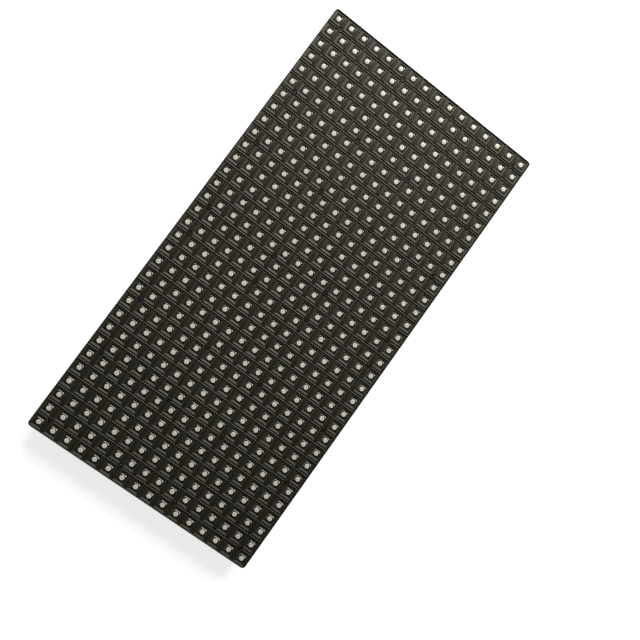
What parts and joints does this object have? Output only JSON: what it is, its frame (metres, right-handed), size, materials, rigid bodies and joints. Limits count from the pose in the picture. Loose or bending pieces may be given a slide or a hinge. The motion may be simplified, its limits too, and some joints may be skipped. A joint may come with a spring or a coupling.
{
  "type": "rgb led matrix panel",
  "caption": "Flat rectangular display module: a dark louvred mask with a grid of full-colour LED packages on a circuit board, backed by a grooved rim frame with threaded inserts and sockets.",
  "frame": {"origin": "middle of the rear rim's face, at the bottom of the module's box as it lies on its back", "axes": "+X along the long side, from the signal input end to the output end; +Y along the short side; +Z out of the LED face"},
  "size_m": [0.2438, 0.122, 0.0165],
  "materials": {
    "mask_plastic": "fine satin",
    "led_resin": "white moulded package with a black printed face",
    "board_laminate": "dark solder mask on glass laminate",
    "frame_plastic": "satin moulding",
    "insert_brass": "turned and knurled",
    "header_plastic": "moulded",
    "contact_metal": "tin plated",
    "connector_nylon": "natural nylon",
    "chip_epoxy": "moulded epoxy",
    "capacitor_ceramic": "unglazed, tinned ends",
    "resistor_body": "glazed top, tinned ends",
    "capacitor_base_plastic": "moulded",
    "capacitor_aluminium": "drawn can"
  },
  "bodies": {
    "root": {"front_mask": "mask_plastic", "led_packages": "led_resin", "circuit_board": "board_laminate", "rear_frame": "frame_plastic", "threaded_inserts": "insert_brass", "input_header_housing": "header_plastic", "input_header_contacts": "contact_metal", "output_header_housing": "header_plastic", "output_header_contacts": "contact_metal", "power_connector": "connector_nylon", "power_pins": "contact_metal", "driver_chips": "chip_epoxy", "buffer_chips": "chip_epoxy", "row_decoder_chip": "chip_epoxy", "row_switch_chips": "chip_epoxy", "chip_capacitors": "capacitor_ceramic", "chip_resistors": "resistor_body", "capacitor_bases": "capacitor_base_plastic", "capacitor_cans": "capacitor_aluminium"}
  },
  "joints": []
}
